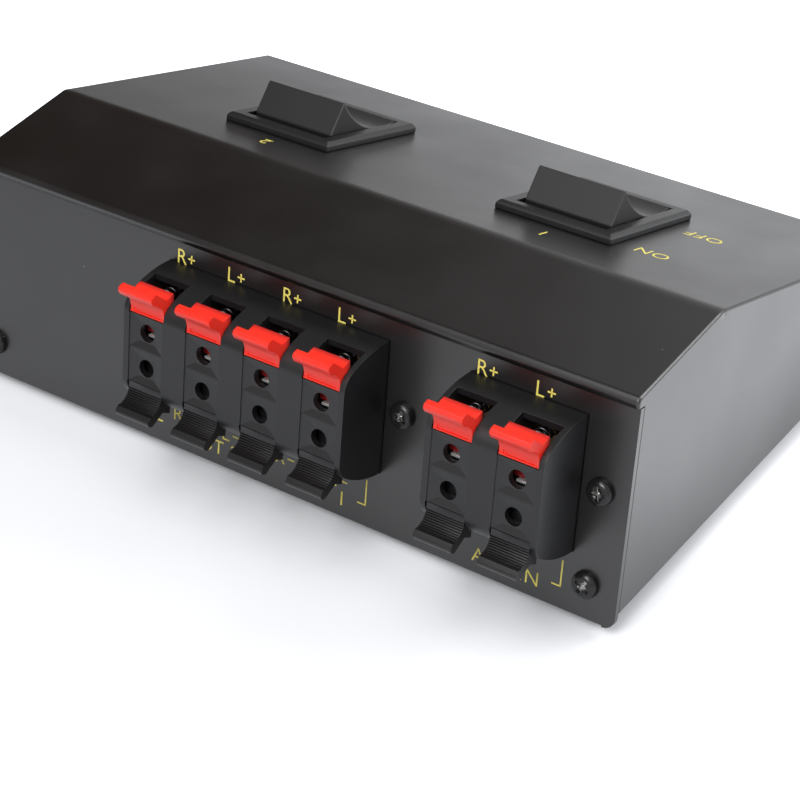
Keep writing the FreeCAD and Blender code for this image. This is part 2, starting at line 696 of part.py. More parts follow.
# ---- Levers and their springs ----
def lever(ribbed):
    """Push lever for an upper chamber; its mirror image serves a lower one."""
    lower_edge = lever_point(FACE_LOW)
    face = [lower_edge, lever_point(FACE_HOLLOW), lever_point(FINGER_UNDER)]
    edges = [Part.Arc(*[V(0, *p) for p in face]).toShape()]
    head = [FINGER_UNDER, FINGER_NOSE, FINGER_TOP, HEAD_NOTCH, HEAD_SHOULDER, BACK_HIGH]
    foot_level = BLADE_TOP + FOOT_GAP
    outline = [lever_point(p) for p in head] + [
        BACK_LOW, (BACK_LOW[0], foot_level), (PIVOT[0], foot_level),
        (PIVOT[0] + THROAT_IN, BLOCK_FLAT - THROAT_DOWN),
        (CHAMBER_FRONT - NECK_GAP, BLOCK_FLAT + NECK_UP), lower_edge,
    ]
    for start, end in zip(outline, outline[1:]):
        edges.append(Part.LineSegment(V(0, *start), V(0, *end)).toShape())
    half = LEVER_WIDTH / 2
    body = along_x(Part.Wire(Part.__sortEdges__(edges)), (-half, half))
    tip = V(0, *FINGER_TIP)
    body = body.makeFillet(
        NOSE_ROUND,
        edges_where(
            body,
            lambda e: e.BoundBox.XLength > LEVER_WIDTH - 0.01
            and abs(e.BoundBox.YMin - tip.y) < 0.01 and abs(e.BoundBox.ZMin - tip.z) < 0.01,
        ),
    )
    if ribbed:
        # Fine grooves across the finger's face leave the grip ribs between them
        curve, (start, end) = edges[0].Curve, edges[0].ParameterRange
        if (edges[0].valueAt(start) - V(0, *lower_edge)).Length > 0.1:
            start, end = end, start
        for i in range(RIB_COUNT + 1):
            share = GRIP_START + (GRIP_END - GRIP_START) * i / RIB_COUNT
            at = edges[0].valueAt(start + (end - start) * share)
            inward = (at - curve.Center).normalize()
            along = V(0, -inward.z, inward.y)
            groove = [
                at - inward * RIB_DEPTH - along * RIB_DEPTH,
                at + inward * RIB_DEPTH,
                at - inward * RIB_DEPTH + along * RIB_DEPTH,
            ]
            body = body.cut(along_x([(p.y, p.z) for p in groove], (-half - 1, half + 1)))
    else:
        low, high = [BLOCK_FLAT + up for up in FACE_GROOVE]
        body = body.cut(
            box(
                (-half + GROOVE_INSET, half - GROOVE_INSET),
                (lower_edge[0] - GROOVE_DEPTH, BLOCK_OUT + 1), (low, high),
            )
        )
    # The leg below the pivot is narrower than the finger
    for side in (-1, 1):
        beside = sorted((side * STEM_WIDTH / 2, side * LEVER_WIDTH))
        body = body.cut(box(beside, (0, BLOCK_OUT), (0, PIVOT[1] - TRUNNION)))
    axle = rod(
        TRUNNION, V(-half - TRUNNION_REACH, *PIVOT), V(1, 0, 0), LEVER_WIDTH + 2 * TRUNNION_REACH
    )
    return joined([body, axle])


def spring():
    """Compression spring between a lever's back and the fibre plate, drawn as its sleeve."""
    back = lever_point(BACK_HIGH)
    share = (SPRING_RISE - SPRING_RADIUS - BACK_LOW[1]) / (back[1] - BACK_LOW[1])
    front = BACK_LOW[0] + (back[0] - BACK_LOW[0]) * share - SPRING_SEAT
    length = front - FLANGE_BACK
    start = V(0, FLANGE_BACK, SPRING_RISE)
    tube = rod(SPRING_RADIUS, start, V(0, 1, 0), length)
    return tube.cut(rod(SPRING_RADIUS - SPRING_WIRE, start, V(0, 1, 0), length))


def mirrored(shape):
    """The same piece turned over for a lower chamber."""
    return shape.mirror(V(0, 0, 0), V(0, 0, 1))


# ---- Rocker switches ----
FLOOR_TOP = -BODY_DEPTH + BODY_FLOOR
CAVITY_X = BODY_WIDTH / 2 - BODY_WALL
CAVITY_Y = BODY_LENGTH / 2 - BODY_WALL


def switch_housing():
    """Bezel and body in one moulding, with barbs that snap under the sheet."""
    half_x, half_y = BEZEL_WIDTH / 2, BEZEL_LENGTH / 2
    bezel = box((-half_x, half_x), (-half_y, half_y), (0, BEZEL_PROUD))
    bezel = bezel.makeChamfer(
        BEZEL_ROUND, edges_where(bezel, lambda e: e.BoundBox.ZMin > BEZEL_PROUD - 0.01)
    )
    half_x, half_y = BODY_WIDTH / 2, BODY_LENGTH / 2
    body = box((-half_x, half_x), (-half_y, half_y), (-BODY_DEPTH, BEZEL_PROUD / 2))
    whole = joined([bezel, body])
    cavity = box((-CAVITY_X, CAVITY_X), (-CAVITY_Y, CAVITY_Y), (FLOOR_TOP, BEZEL_PROUD + 1))
    whole = whole.cut(cavity)
    barbs = []
    for side in (-1, 1):
        edge = side * BODY_LENGTH / 2
        top = -SHEET - SEAM
        root = edge - side * BARB / 2
        wedge = [(root, top), (edge + side * (BODY_GAP + BARB), top), (root, top - BARB_LENGTH)]
        for x in (-BODY_WIDTH / 3, BODY_WIDTH / 3):
            barbs.append(along_x(wedge, (x - BARB_WIDTH / 2, x + BARB_WIDTH / 2)))
    whole = joined([whole] + barbs)
    bearing_half = CAVITY_X + ROCKER_SIDE + RUNNING_GAP
    start = V(-bearing_half, 0, -ROCKER_PIVOT)
    whole = whole.cut(
        rod_hole(ROCKER_TRUNNION + RUNNING_GAP, start, V(1, 0, 0), 2 * bearing_half)
    )
    for x in (-POLE_X, POLE_X):
        for y in (-TAG_PITCH, 0, TAG_PITCH):
            wide, thick = TAG_WIDTH / 2 + SLOT_GAP, TAG_THICK / 2 + SLOT_GAP
            whole = whole.cut(
                box((x - wide, x + wide), (y - thick, y + thick), (-BODY_DEPTH - 1, FLOOR_TOP + 1))
            )
    return whole


def rocker():
    """Rocker with a concave top between two ridges, at the middle of its travel."""
    ridge = (RIDGE_HALF, RIDGE_UP)
    skirt = (SKIRT_HALF, SKIRT_UP)
    low_skirt = (SKIRT_HALF - 1.0, -SKIRT_UP)
    bottom = (ROCKER_BOTTOM_HALF, -ROCKER_BOTTOM)
    top = Part.Arc(
        V(0, -ridge[0], ridge[1]), V(0, 0, RIDGE_UP - RIDGE_SAG), V(0, ridge[0], ridge[1])
    ).toShape()
    right = [ridge, skirt, low_skirt, bottom]
    outline = right + [(-y, z) for y, z in reversed(right)]
    edges = [top]
    for start, end in zip(outline, outline[1:]):
        edges.append(Part.LineSegment(V(0, *start), V(0, *end)).toShape())
    half = CAVITY_X - ROCKER_SIDE_GAP
    body = along_x(Part.Wire(Part.__sortEdges__(edges)), (-half, half))
    axle_half = CAVITY_X + ROCKER_SIDE
    axle = rod(ROCKER_TRUNNION, V(-axle_half, 0, 0), V(1, 0, 0), 2 * axle_half)
    # The plungers end just above the seesaws in the middle of the travel
    blades = FLOOR_TOP + SEESAW_UP + SEESAW_THICK
    reach = -ROCKER_PIVOT - ROCKER_BOTTOM / 2 - blades - PLUNGER_GAP
    plungers = [
        rod(PLUNGER_RADIUS, V(x, 0, -ROCKER_BOTTOM / 2), V(0, 0, -1), reach)
        for x in (-POLE_X, POLE_X)
    ]
    whole = joined([body, axle] + plungers)
    whole.rotate(V(0, 0, 0), V(1, 0, 0), ROCKER_TILT)
    whole.translate(V(0, 0, -ROCKER_PIVOT))
    return whole


def seesaws():
    """Two contact blades, one for each pole, tipped by the rocker's plungers."""
    blades = []
    for x in (-POLE_X, POLE_X):
        blade = box(
            (x - SEESAW_WIDTH / 2, x + SEESAW_WIDTH / 2), (-SEESAW_HALF, SEESAW_HALF), (0, SEESAW_THICK)
        )
        blade.rotate(V(0, 0, 0), V(1, 0, 0), -SEESAW_TILT)
        blade.translate(V(0, 0, FLOOR_TOP + SEESAW_UP))
        blades.append(blade)
    return Part.makeCompound(blades)


def switch_tags():
    """Six tags: the middle ones carry the blades, the outer ones are the fixed contacts."""
    tags = []
    for x in (-POLE_X, POLE_X):
        for y in (-TAG_PITCH, 0, TAG_PITCH):
            if y == 0:
                top = FLOOR_TOP + SEESAW_UP - SEESAW_REST
            else:
                tip_drop = (TAG_PITCH - TAG_THICK) * sine(SEESAW_TILT)
                top = FLOOR_TOP + SEESAW_UP - tip_drop - TIP_GAP
            tag = box(
                (x - TAG_WIDTH / 2, x + TAG_WIDTH / 2), (y - TAG_THICK / 2, y + TAG_THICK / 2),
                (-BODY_DEPTH - SWITCH_TAG_REACH, top),
            )
            end = -BODY_DEPTH - SWITCH_TAG_REACH
            eye = box(
                (x - TAG_EYE, x + TAG_EYE), (y - TAG_THICK, y + TAG_THICK),
                (end + TAG_EYE, end + 3 * TAG_EYE),
            )
            tags.append(tag.cut(eye))
    return Part.makeCompound(tags)


# ---- Write every node ----
os.makedirs("parts", exist_ok=True)
write("base_tray", tray())
write("cover_shell", cover())
write("rubber_feet", feet())
write("cover_screws", cover_screws())

screw_places = [
    (x, BLOCK_HEIGHT) for centre, count in BLOCKS.values() for x in block_screws(centre, count)
]
write("block_screws", Part.makeCompound(screws_on_panel(screw_places)))

smooth_lever, ribbed_lever, sleeve = lever(False), lever(True), spring()
column = 0
for block, (centre, count) in BLOCKS.items():
    write(block + "_block_housing", on_panel(housing(count), centre, BLOCK_HEIGHT))
    write(block + "_block_plate", on_panel(base_plate(count), centre, BLOCK_HEIGHT))
    write(block + "_contacts", on_panel(contacts(count), centre, BLOCK_HEIGHT))
    for x in reversed(column_places(count)):
        column += 1
        write("red_lever_%d" % column, on_panel(smooth_lever, centre + x, BLOCK_HEIGHT))
        write("red_spring_%d" % column, on_panel(sleeve, centre + x, BLOCK_HEIGHT))
        write("black_lever_%d" % column, on_panel(mirrored(ribbed_lever), centre + x, BLOCK_HEIGHT))
        write("black_spring_%d" % column, on_panel(mirrored(sleeve), centre + x, BLOCK_HEIGHT))

for number, side in ((1, -1), (2, 1)):
    for piece, make in (
        ("housing", switch_housing), ("rocker", rocker), ("seesaws", seesaws), ("tags", switch_tags)
    ):
        write("switch_%d_%s" % (number, piece), on_slope(make(), side * SWITCH_X, SWITCH_DOWN))
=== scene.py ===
import json
import math

import bpy
from mathutils import Matrix, Vector


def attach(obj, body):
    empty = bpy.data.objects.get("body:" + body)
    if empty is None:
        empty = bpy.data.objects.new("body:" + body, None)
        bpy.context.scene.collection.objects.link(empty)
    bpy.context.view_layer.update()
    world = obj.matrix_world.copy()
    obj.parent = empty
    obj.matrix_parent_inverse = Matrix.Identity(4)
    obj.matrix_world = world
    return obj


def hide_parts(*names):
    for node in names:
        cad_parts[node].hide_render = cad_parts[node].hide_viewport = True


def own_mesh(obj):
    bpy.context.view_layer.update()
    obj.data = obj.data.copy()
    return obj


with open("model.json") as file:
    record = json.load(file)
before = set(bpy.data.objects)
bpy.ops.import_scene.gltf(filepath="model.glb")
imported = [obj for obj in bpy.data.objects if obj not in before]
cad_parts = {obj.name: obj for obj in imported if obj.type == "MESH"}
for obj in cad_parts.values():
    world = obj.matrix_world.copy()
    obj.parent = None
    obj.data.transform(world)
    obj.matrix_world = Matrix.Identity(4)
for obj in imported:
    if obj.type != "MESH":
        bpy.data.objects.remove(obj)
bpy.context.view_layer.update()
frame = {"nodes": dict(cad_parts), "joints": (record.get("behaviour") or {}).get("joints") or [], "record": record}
nodes = frame["nodes"]
joints = {joint["name"]: joint for joint in frame["joints"]}
mounts = {mount["name"]: mount for mount in frame["record"]["mounts"]}


# ---- Studio ----
# A long lens looks down on the terminals from one side, over a seamless white floor. Three
# soft boxes light the case. The room is bright towards the front right and dark on the left,
# so the painted sheets carry a gradient.
CAMERA_PLACE = Vector((-0.2535, 0.3130, 0.29506))
CAMERA_RIGHT = Vector((-0.8048, -0.5896, -0.0687))
CAMERA_UP = Vector((0.3094, -0.5156, 0.7990))
LENS = 111.5
LENS_SHIFT = -0.00375
CLIP_START, CLIP_END = 0.01, 50.0
# Each soft box's name, place, size and power
SOFT_BOXES = (
    ("terminal_side_light", (-0.10, 0.80, 1.00), 0.6, 11.0),
    ("top_light", (0.15, 0.30, 1.15), 0.6, 3.0),
    ("end_side_light", (-0.60, -0.45, 0.60), 0.4, 4.0),
)
WHITE = (1.0, 1.0, 1.0, 1.0)
DARK_CORNER = (0.055, 0.032, 0.018, 1.0)
# Where the room's bright side ends and its dark one starts, as sideways over forward, and
# how far that border leans with height
BRIGHT_END, DARK_START = 0.42, 0.68
BORDER_LEAN = -0.2
# The room's strength as light, and what the camera and glossy surfaces see on top of it
ROOM_LIGHT, ROOM_SHOWN = 0.3, 0.7

bpy.ops.object.camera_add(location=CAMERA_PLACE)
camera = bpy.context.object
camera_back = CAMERA_RIGHT.cross(CAMERA_UP)
turn = Matrix((CAMERA_RIGHT, CAMERA_UP, camera_back)).transposed()
camera.rotation_euler = turn.to_euler()
camera.data.lens = LENS
camera.data.shift_y = LENS_SHIFT
camera.data.clip_start = CLIP_START
camera.data.clip_end = CLIP_END
bpy.context.scene.camera = camera
bpy.context.scene.view_settings.view_transform = "Standard"

for name, place, size, power in SOFT_BOXES:
    bpy.ops.object.light_add(type="AREA", location=place)
    lamp = bpy.context.object
    lamp.name = name
    lamp.rotation_euler = (-Vector(place)).to_track_quat("-Z", "Y").to_euler()
    lamp.data.size = size
    lamp.data.energy = power


def feed(tree, socket, value):
    """Links an input to the socket that a value is, or writes a plain value into it."""
    if isinstance(value, bpy.types.NodeSocket):
        tree.links.new(value, socket)
    else:
        socket.default_value = value


def maths(tree, operation, *values):
    """The result of a maths node on one or two values."""
    node = tree.nodes.new("ShaderNodeMath")
    node.operation = operation
    for socket, value in zip(node.inputs, values):
        feed(tree, socket, value)
    return node.outputs[0]


def blend(tree, share, low, high, kind="RGBA"):
    """Two colours or numbers mixed: the first where the share is 0, the second where it is 1."""
    node = tree.nodes.new("ShaderNodeMix")
    node.data_type = kind
    for name, value in (("Factor", share), ("A", low), ("B", high)):
        feed(tree, node.inputs[name], value)
    return node.outputs["Result"]


def ramp(tree, value, start, end, first=0.0, last=1.0):
    """Runs from first to last while a value runs from start to end, and holds beyond them."""
    node = tree.nodes.new("ShaderNodeMapRange")
    limits = {"From Min": start, "From Max": end, "To Min": first, "To Max": last}
    for name, limit in limits.items():
        node.inputs[name].default_value = limit
    tree.links.new(value, node.inputs["Value"])
    return node.outputs["Result"]


def ray_strength(tree, to_camera, to_gloss):
    """One value for rays from the camera, and another for rays from glossy surfaces or glass."""
    rays = tree.nodes.new("ShaderNodeLightPath").outputs
    gloss = maths(tree, "MAXIMUM", rays["Is Glossy Ray"], rays["Is Transmission Ray"])
    direct = maths(tree, "MULTIPLY", rays["Is Camera Ray"], to_camera)
    return maths(tree, "ADD", maths(tree, "MULTIPLY", gloss, to_gloss), direct)


def bright_side(tree, place):
    """1 towards the front right of the room, falling off to a dark corner on the left."""
    axes = tree.nodes.new("ShaderNodeSeparateXYZ")
    tree.links.new(place, axes.inputs[0])
    forward = maths(tree, "ABSOLUTE", axes.outputs["Y"])
    sideways = maths(tree, "DIVIDE", axes.outputs["X"], forward)
    lean = maths(tree, "MULTIPLY", axes.outputs["Z"], BORDER_LEAN)
    return ramp(tree, maths(tree, "ADD", lean, sideways), BRIGHT_END, DARK_START, 1.0, 0.0)


world = bpy.data.worlds.new("studio_room")
bpy.context.scene.world = world
world.use_nodes = True
tree = world.node_tree
tree.nodes.clear()
direction = tree.nodes.new("ShaderNodeTexCoord").outputs["Generated"]
room = blend(tree, bright_side(tree, direction), DARK_CORNER, WHITE)
background = tree.nodes.new("ShaderNodeBackground")
background_colour = blend(tree, ray_strength(tree, 1.0, 0.0), room, WHITE)
tree.links.new(background_colour, background.inputs["Color"])
strength = maths(tree, "ADD", ray_strength(tree, ROOM_SHOWN, ROOM_SHOWN), ROOM_LIGHT)
tree.links.new(strength, background.inputs["Strength"])
world_out = tree.nodes.new("ShaderNodeOutputWorld")
tree.links.new(background.outputs[0], world_out.inputs[0])

# The floor is matte, with a glow that the camera and glossy surfaces see. The glow holds painted light and
# shade: it is lower before the terminals and higher beside the end wall, as painted darker and brighter
# reflections in the panel and the end wall, and darkened close to the case as a painted contact shadow
FLOOR_SIZE = 8.0
FLOOR_COLOUR = (0.60, 0.61, 0.63, 1.0)
GLOW_COLOUR = (0.94, 0.96, 1.0, 1.0)
GLOW_SHOWN, GLOW_MIRRORED = 1.08, 1.12
# Two places along Y or X, and the glow's share at each
TERMINAL_SIDE = (0.0, 0.05, 1.0, 0.38)
END_SIDE = (-0.10, -0.07, 1.7, 1.0)
FAR_START, FAR_END = 0.35, 0.90
SHADE_REACH = 0.022

bpy.ops.mesh.primitive_plane_add(size=FLOOR_SIZE)
floor = bpy.context.object
floor.name = "studio_floor"
floor_white = bpy.data.materials.new("floor_white")
floor_white.use_nodes = True
tree = floor_white.node_tree
tree.nodes.clear()
place = tree.nodes.new("ShaderNodeTexCoord").outputs["Object"]
axes = tree.nodes.new("ShaderNodeSeparateXYZ")
tree.links.new(place, axes.inputs[0])
away = tree.nodes.new("ShaderNodeVectorMath")
away.operation = "LENGTH"
tree.links.new(place, away.inputs[0])
far = ramp(tree, away.outputs["Value"], FAR_START, FAR_END)
# Painted contact shadow: ambient occlusion darkens the floor's glow near the case
painted_contact_shadow = tree.nodes.new("ShaderNodeAmbientOcclusion")
painted_contact_shadow.inputs["Distance"].default_value = SHADE_REACH
# Painted light: the glow is dimmer before the terminals and brighter beside the end wall
before = ramp(tree, axes.outputs["Y"], *TERMINAL_SIDE)
beside = ramp(tree, axes.outputs["X"], *END_SIDE)
fading = blend(tree, far, 1.0, bright_side(tree, place), "FLOAT")
strength = ray_strength(tree, GLOW_SHOWN, GLOW_MIRRORED)
for share in (before, beside, fading, painted_contact_shadow.outputs["AO"]):
    strength = maths(tree, "MULTIPLY", strength, share)
matte = tree.nodes.new("ShaderNodeBsdfDiffuse")
matte.inputs["Color"].default_value = FLOOR_COLOUR
glow = tree.nodes.new("ShaderNodeEmission")
glow.inputs["Color"].default_value = GLOW_COLOUR
tree.links.new(strength, glow.inputs["Strength"])
both = tree.nodes.new("ShaderNodeAddShader")
tree.links.new(matte.outputs[0], both.inputs[0])
tree.links.new(glow.outputs[0], both.inputs[1])
floor_out = tree.nodes.new("ShaderNodeOutputMaterial")
tree.links.new(both.outputs[0], floor_out.inputs["Surface"])
floor.data.materials.append(floor_white)


# ---- Tray and cover ----
# Two shells of bent sheet steel, powder coated in satin black and screwed together. The coat
# is slightly wavy, so it carries soft reflections of what stands near it.
SHEET_EDGE = {"base_tray": 0.00030, "cover_shell": 0.00015}
# The crest and the lip's lower edge: where each lies, its width, and how far its normals turn
CREST_Y, CREST_Z = 0.00662, 0.04650
CREST_WIDTH, CREST_TURN = 0.0014, 0.147
LIP_UP, LIP_OUT = 0.0435, 0.0008
LIP_WIDTH, LIP_TURN = 0.0010, 1.1
# The panel's own frame: its foot in the middle, and its directions right, up and out
LAND_OUT, BLOCK_UP = 0.011625, 0.02565
panel_out = Vector(mounts["red_wire_hole_1"]["axis"])
panel_up = Vector((0.0, -panel_out.z, panel_out.y))
panel_right = Vector((-1.0, 0.0, 0.0))
red_hole, black_hole = [Vector(mounts[c + "_wire_hole_1"]["pos_m"]) for c in ("red", "black")]
panel_foot = (red_hole + black_hole) / 2 - LAND_OUT * panel_out - BLOCK_UP * panel_up
panel_foot.x = 0.0
lip_edge = panel_foot.dot(panel_up) + LIP_UP
lip_face = panel_foot.dot(panel_out) + LIP_OUT


def make_group(name, inputs, outputs):
    """An empty shader node group with number or vector sockets."""
    group = bpy.data.node_groups.new(name, "ShaderNodeTree")
    for side, sockets in (("INPUT", inputs), ("OUTPUT", outputs)):
        for socket, kind in sockets:
            group.interface.new_socket(name=socket, in_out=side, socket_type="NodeSocket" + kind)
    return group, group.nodes.new("NodeGroupInput"), group.nodes.new("NodeGroupOutput")


# Grain: the fine texture of a coat or a mould, as a height
GRAIN_DETAIL, GRAIN_ROUGHNESS = 3.0, 0.6
grain, given, made = make_group(
    "grain", [("Place", "Vector"), ("Size", "Float")], [("Height", "Float")]
)
noise = grain.nodes.new("ShaderNodeTexNoise")
noise.inputs["Detail"].default_value = GRAIN_DETAIL
noise.inputs["Roughness"].default_value = GRAIN_ROUGHNESS
grain.links.new(given.outputs["Place"], noise.inputs["Vector"])
grain.links.new(maths(grain, "DIVIDE", 1.0, given.outputs["Size"]), noise.inputs["Scale"])
grain.links.new(noise.outputs["Fac"], made.inputs["Height"])

# Handling: faint smudges, and sparse specks of dust. A scale is how many patches lie to a metre
SMUDGE_SCALE, SMUDGE_DETAIL = 55.0, 4.0
SPECK_SCALE, SPECK_SIZE = 420.0, 0.055
handling, given, made = make_group(
    "handling", [("Place", "Vector"), ("Dust", "Float")], [("Smudge", "Float"), ("Speck", "Float")]
)
cloud = handling.nodes.new("ShaderNodeTexNoise")
cloud.inputs["Scale"].default_value = SMUDGE_SCALE
cloud.inputs["Detail"].default_value = SMUDGE_DETAIL
handling.links.new(given.outputs["Place"], cloud.inputs["Vector"])
handling.links.new(cloud.outputs["Fac"], made.inputs["Smudge"])
cells = handling.nodes.new("ShaderNodeTexVoronoi")
cells.inputs["Scale"].default_value = SPECK_SCALE
handling.links.new(given.outputs["Place"], cells.inputs["Vector"])
cell_values = handling.nodes.new("ShaderNodeSeparateColor")
handling.links.new(cells.outputs["Color"], cell_values.inputs[0])
dot = maths(handling, "LESS_THAN", cells.outputs["Distance"], SPECK_SIZE)
chosen = maths(handling, "LESS_THAN", cell_values.outputs[0], given.outputs["Dust"])
handling.links.new(maths(handling, "MULTIPLY", dot, chosen), made.inputs["Speck"])

# How far a smudge darkens, lightens, polishes and dulls, and the run of its pattern
SMUDGE_DARK, SMUDGE_LIGHT = 0.88, 1.12
SMUDGE_GLOSS, SMUDGE_DULL = -0.03, 0.04
SMUDGE_LOW, SMUDGE_HIGH = 0.3, 0.7
DUST_GREY = (0.35, 0.35, 0.35, 1.0)


def finish(
    name, colour, roughness, grain_size, grain_depth, dust=0.02, ior=1.5, metallic=0.0
):
    """A coat, plastic or metal: one colour, a fine grain, faint smudges and a little dust."""
    material = bpy.data.materials.new(name)
    material.use_nodes = True
    tree = material.node_tree
    shader = tree.nodes["Principled BSDF"]
    shader.inputs["Metallic"].default_value = metallic
    shader.inputs["IOR"].default_value = ior
    place = tree.nodes.new("ShaderNodeTexCoord").outputs["Object"]
    marks = tree.nodes.new("ShaderNodeGroup")
    marks.node_tree = handling
    marks.inputs["Dust"].default_value = dust
    tree.links.new(place, marks.inputs["Place"])
    smudge = marks.outputs["Smudge"]
    dark = (*[SMUDGE_DARK * c for c in colour], 1.0)
    light = (*[SMUDGE_LIGHT * c for c in colour], 1.0)
    tone = blend(tree, smudge, dark, light)
    dusty = blend(tree, marks.outputs["Speck"], tone, DUST_GREY)
    tree.links.new(dusty, shader.inputs["Base Color"])
    glossy, dull = roughness + SMUDGE_GLOSS, roughness + SMUDGE_DULL
    gloss = ramp(tree, smudge, SMUDGE_LOW, SMUDGE_HIGH, glossy, dull)
    tree.links.new(gloss, shader.inputs["Roughness"])
    texture = tree.nodes.new("ShaderNodeGroup")
    texture.node_tree = grain
    texture.inputs["Size"].default_value = grain_size
    tree.links.new(place, texture.inputs["Place"])
    bump = tree.nodes.new("ShaderNodeBump")
    bump.inputs["Strength"].default_value = 1.0
    bump.inputs["Distance"].default_value = grain_depth
    tree.links.new(texture.outputs["Height"], bump.inputs["Height"])
    tree.links.new(bump.outputs["Normal"], shader.inputs["Normal"])
    return material


def give(piece, material):
    """One material all over a piece."""
    if not piece.material_slots:
        piece.data.materials.append(material)
    for material_slot in piece.material_slots:
        material_slot.material = material


def pick(piece):
    """Makes a piece the only one selected, and active."""
    bpy.ops.object.select_all(action="DESELECT")
    piece.select_set(True)
    bpy.context.view_layer.objects.active = piece


WELD_REACH = 1e-6
FLAT_WITHIN = math.radians(0.5)


def ease_edges(piece, width, segments=2, sharper_than=32):
    """Small rounded edges on a moulded or coated piece, and smooth shading between them."""
    pick(piece)
    bpy.ops.object.shade_smooth()
    weld = piece.modifiers.new("weld", "WELD")
    weld.merge_threshold = WELD_REACH
    flats = piece.modifiers.new("flats", "DECIMATE")
    flats.decimate_type = "DISSOLVE"
    flats.angle_limit = FLAT_WITHIN
    rounds = piece.modifiers.new("rounds", "BEVEL")
    rounds.width = width
    rounds.segments = segments
    rounds.limit_method = "ANGLE"
    rounds.angle_limit = math.radians(sharper_than)
    rounds.use_clamp_overlap = True
    normals = piece.modifiers.new("normals", "WEIGHTED_NORMAL")
    normals.keep_sharp = True


def along(tree, place, direction):
    """How far a place lies along a direction."""
    measure = tree.nodes.new("ShaderNodeVectorMath")
    measure.operation = "DOT_PRODUCT"
    measure.inputs[1].default_value = direction
    tree.links.new(place, measure.inputs[0])
    return measure.outputs["Value"]


coat = finish(
    "black_powder_coat", (0.0056, 0.0053, 0.0056), roughness=0.32, grain_size=0.0012,
    grain_depth=0.000004, dust=0.012, ior=1.7,
)

# The crest is a soft fold, and the lip's lower edge rolls in towards the panel: each is a
# rounding whose normals turn over a short width
bends, given, made = make_group("sheet_bends", [("Place", "Vector")], [("Height", "Float")])
heights = []
for across, edge, width, turn, facing, face in (
    (Vector((0.0, 1.0, 0.0)), CREST_Y, CREST_WIDTH, CREST_TURN, Vector((0.0, 0.0, 1.0)), CREST_Z),
    (panel_up, lip_edge, LIP_WIDTH, LIP_TURN, panel_out, lip_face),
):
    place = given.outputs["Place"]
    off_edge = maths(bends, "ABSOLUTE", maths(bends, "SUBTRACT", along(bends, place, across), edge))
    inside = maths(bends, "MAXIMUM", maths(bends, "SUBTRACT", width, off_edge), 0.0)
    rounding = maths(bends, "MULTIPLY", maths(bends, "POWER", inside, 2.0), -turn / (2 * width))
    there = maths(bends, "GREATER_THAN", along(bends, place, facing), face)
    heights.append(maths(bends, "MULTIPLY", rounding, there))
bends.links.new(maths(bends, "ADD", *heights), made.inputs["Height"])

tree = coat.node_tree
grain_bump = next(node for node in tree.nodes if node.type == "BUMP")
bent = tree.nodes.new("ShaderNodeGroup")
bent.node_tree = bends
tree.links.new(tree.nodes.new("ShaderNodeTexCoord").outputs["Object"], bent.inputs["Place"])
bend_bump = tree.nodes.new("ShaderNodeBump")
bend_bump.inputs["Strength"].default_value = 1.0
bend_bump.inputs["Distance"].default_value = 1.0
tree.links.new(bent.outputs["Height"], bend_bump.inputs["Height"])
tree.links.new(bend_bump.outputs["Normal"], grain_bump.inputs["Normal"])
for name in ("base_tray", "cover_shell"):
    give(nodes[name], coat)
    ease_edges(nodes[name], width=SHEET_EDGE[name])


# ---- Rubber feet ----
# Four tapered pads of black rubber, stuck under the tray near its corners. They hold the
# steel off the shelf.
rubber = finish(
    "foot_rubber", (0.02, 0.02, 0.02), roughness=0.75, grain_size=0.0004, grain_depth=0.00002
)
give(nodes["rubber_feet"], rubber)
ease_edges(nodes["rubber_feet"], width=0.0003)


# ---- Printed marks on the panel ----
# Screen-printed in yellow: plus and minus marks for the right and left wires, plain names for
# the sockets, and a bracket round each pair of columns. Made as thin films of ink.
INK_THICK = 0.00002
CAPITAL = 0.0029
LINE_WIDTH = 0.00032
SIGN_HALF = 0.00068
# A capital's height, its thinning and its spacing, each as a share of the type's own
CAPITAL_SHARE = 0.69
THINNER = -0.004
SPACING = 1.08
# Heights above the panel's foot
PLUS_UP = 0.04038
MINUS_UP = 0.0075
NAME_UP = 0.0040
BRACKET_TOP = 0.0097
BRACKET_FOOT = 0.0046
BRACKET_REACH = 0.0017
# Left edges of the letters, to the right of the case's middle as seen from the terminals
LETTER_PLACES = (-0.02405, -0.01205, 0.00127, 0.01375, 0.04455, 0.05660)
# From a letter's left edge to the middles of the letters and signs, above and below
PLUS_LETTER, PLUS_SIGN = 0.0010, 0.0034
MINUS_LETTER, MINUS_SIGN = 0.0014, 0.0040
# How many columns have minus marks
MINUS_COLUMNS = 4
# Each socket's name and bracket: left end, right end, middle of the name
SOCKETS = (
    ("OUT 2", -0.0282, -0.0028, -0.0138),
    ("OUT 1", -0.0024, 0.02295, 0.0121),
    ("AMP IN", 0.0412, 0.0659, 0.0543),
)

ink = finish(
    "yellow_ink", (0.92, 0.79, 0.17), roughness=0.5, grain_size=0.0002, grain_depth=0.000002,
    dust=0.0,
)


def lay_ink(piece, name, origin, right, up, out):
    """Moves a mark made in the XY plane on to a surface, and prints it there."""
    pick(piece)
    bpy.ops.object.transform_apply(location=True, rotation=True, scale=True)
    piece.name = name
    turn = Matrix((right, up, out)).transposed().to_4x4()
    piece.data.transform(Matrix.Translation(origin) @ turn)
    give(piece, ink)
    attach(piece, "case")
    return piece


def words(name, text, place, capital, origin, right, up, out):
    """Printed capitals, centred on a place in the surface's own right and up."""
    bpy.ops.object.select_all(action="DESELECT")
    bpy.ops.object.text_add(location=(place[0], place[1] - capital / 2, INK_THICK))
    piece = bpy.context.object
    piece.data.body = text
    piece.data.align_x = "CENTER"
    piece.data.size = capital / CAPITAL_SHARE
    piece.data.offset = THINNER * piece.data.size
    piece.data.space_character = SPACING
    piece.data.extrude = INK_THICK / 2
    bpy.ops.object.convert(target="MESH")
    return lay_ink(bpy.context.object, name, origin, right, up, out)


